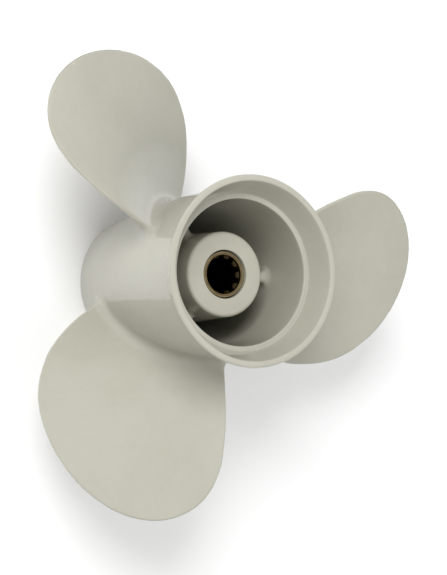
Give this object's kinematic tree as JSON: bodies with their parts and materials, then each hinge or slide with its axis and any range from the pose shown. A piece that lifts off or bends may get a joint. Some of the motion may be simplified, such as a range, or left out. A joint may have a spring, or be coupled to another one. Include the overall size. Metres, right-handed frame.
{
  "type": "boat propeller",
  "caption": "Three-blade right-hand outboard propeller: painted alloy casting with exhaust barrel, rubber slip bush and splined brass sleeve.",
  "frame": {"origin": "on the shaft axis at the thrust face, the front end of the splined sleeve", "axes": "+Z aft along the shaft axis, +X through the first rib between the inner hub and the barrel; the propeller stands on its front rim"},
  "size_m": [0.2154, 0.2299, 0.121],
  "materials": {
    "painted_alloy": "satin-gloss warm grey paint over cast alloy",
    "bush_rubber": "matte black moulded rubber",
    "sleeve_brass": "machined and broached, slightly dulled"
  },
  "bodies": {
    "shaft_core": {"spline_sleeve": "sleeve_brass", "rubber_bush": "bush_rubber"},
    "casting": {"barrel": "painted_alloy", "inner_hub": "painted_alloy", "rib_1": "painted_alloy", "rib_2": "painted_alloy", "rib_3": "painted_alloy", "blade_1": "painted_alloy", "blade_2": "painted_alloy", "blade_3": "painted_alloy"}
  },
  "joints": [
    {"name": "hub_slip", "type": "hinge", "parent": "shaft_core", "child": "casting", "pos_m": [0, 0, 0], "axis": [0, 0, 1], "continuous": true}
  ]
}
